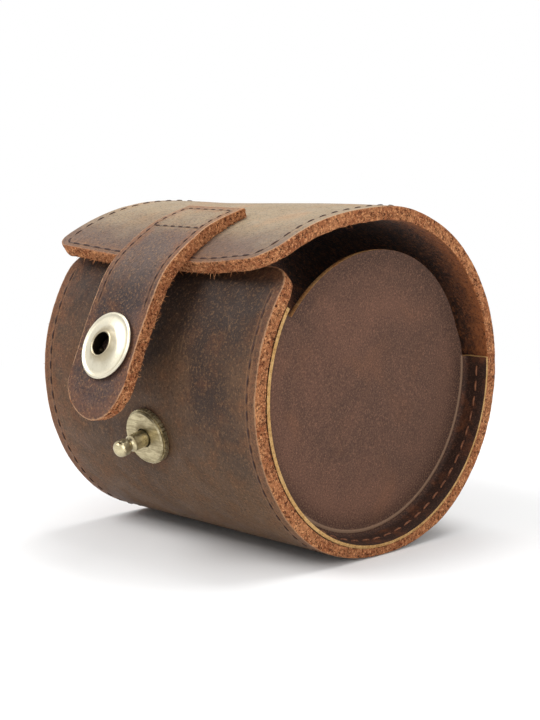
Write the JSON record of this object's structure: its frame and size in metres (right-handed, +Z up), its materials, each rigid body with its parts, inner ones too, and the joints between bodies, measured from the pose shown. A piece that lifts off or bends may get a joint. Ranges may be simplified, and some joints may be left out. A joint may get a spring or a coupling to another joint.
{
  "type": "watch travel case",
  "caption": "Round leather travel case for a watch, lying on its side, with a fold-over flap, a strap with a sprung pull lock that clips on a stud, end cups and a padded pillow.",
  "frame": {"origin": "middle of the flat on the underside of the wall, where the case rests", "axes": "+X along the case, -Y to the front with its stud and strap, +Z up"},
  "size_m": [0.0782, 0.1, 0.084],
  "materials": {
    "grain_leather": "dark brown grain leather, waxed and rubbed, with a suede inside",
    "thin_leather": "thin brown leather, matt",
    "suede": "dark brown suede",
    "foam": "open foam",
    "pale_brass": "pale satin brass plate",
    "dark_brass": "darker brass, in shade",
    "spring_steel": "bare spring wire"
  },
  "bodies": {
    "case": {"body_wall": "grain_leather", "end_cup_left": "thin_leather", "end_cup_right": "thin_leather", "stud_base": "pale_brass", "stud_post": "pale_brass", "stud_washer": "dark_brass", "stud_screw": "dark_brass"},
    "lid": {"lid_flap": "grain_leather", "strap_sewn_end": "grain_leather"},
    "strap": {"strap_tongue": "grain_leather", "lock_housing": "dark_brass", "lock_balls": "pale_brass", "lock_spring": "spring_steel", "lock_ring_nut": "dark_brass"},
    "cap": {"lock_cap": "pale_brass"},
    "pillow": {"pillow_core": "foam", "pillow_cover": "suede", "pillow_end_left": "suede", "pillow_end_right": "suede"}
  },
  "joints": [
    {"name": "lid_fold", "type": "hinge", "parent": "case", "child": "lid", "pos_m": [0, 0.04206, 0.04736], "axis": [-1, 0, 0], "range_deg": [0, 120]},
    {"name": "strap_fold", "type": "hinge", "parent": "lid", "child": "strap", "pos_m": [0, -0.04014, 0.07335], "axis": [-1, 0, 0], "range_deg": [-9, 100], "stiffness_Nm_per_rad": 0.15},
    {"name": "cap_pull", "type": "slide", "parent": "strap", "child": "cap", "axis": [0, -0.9212, 0.3892], "range_m": [0, 0.0015], "stiffness_N_per_m": 400, "deforming": ["lock_spring"]},
    {"name": "pillow_lift", "type": "slide", "parent": "case", "child": "pillow", "axis": [0, 0, 1], "range_m": [0, 0.025]}
  ]
}
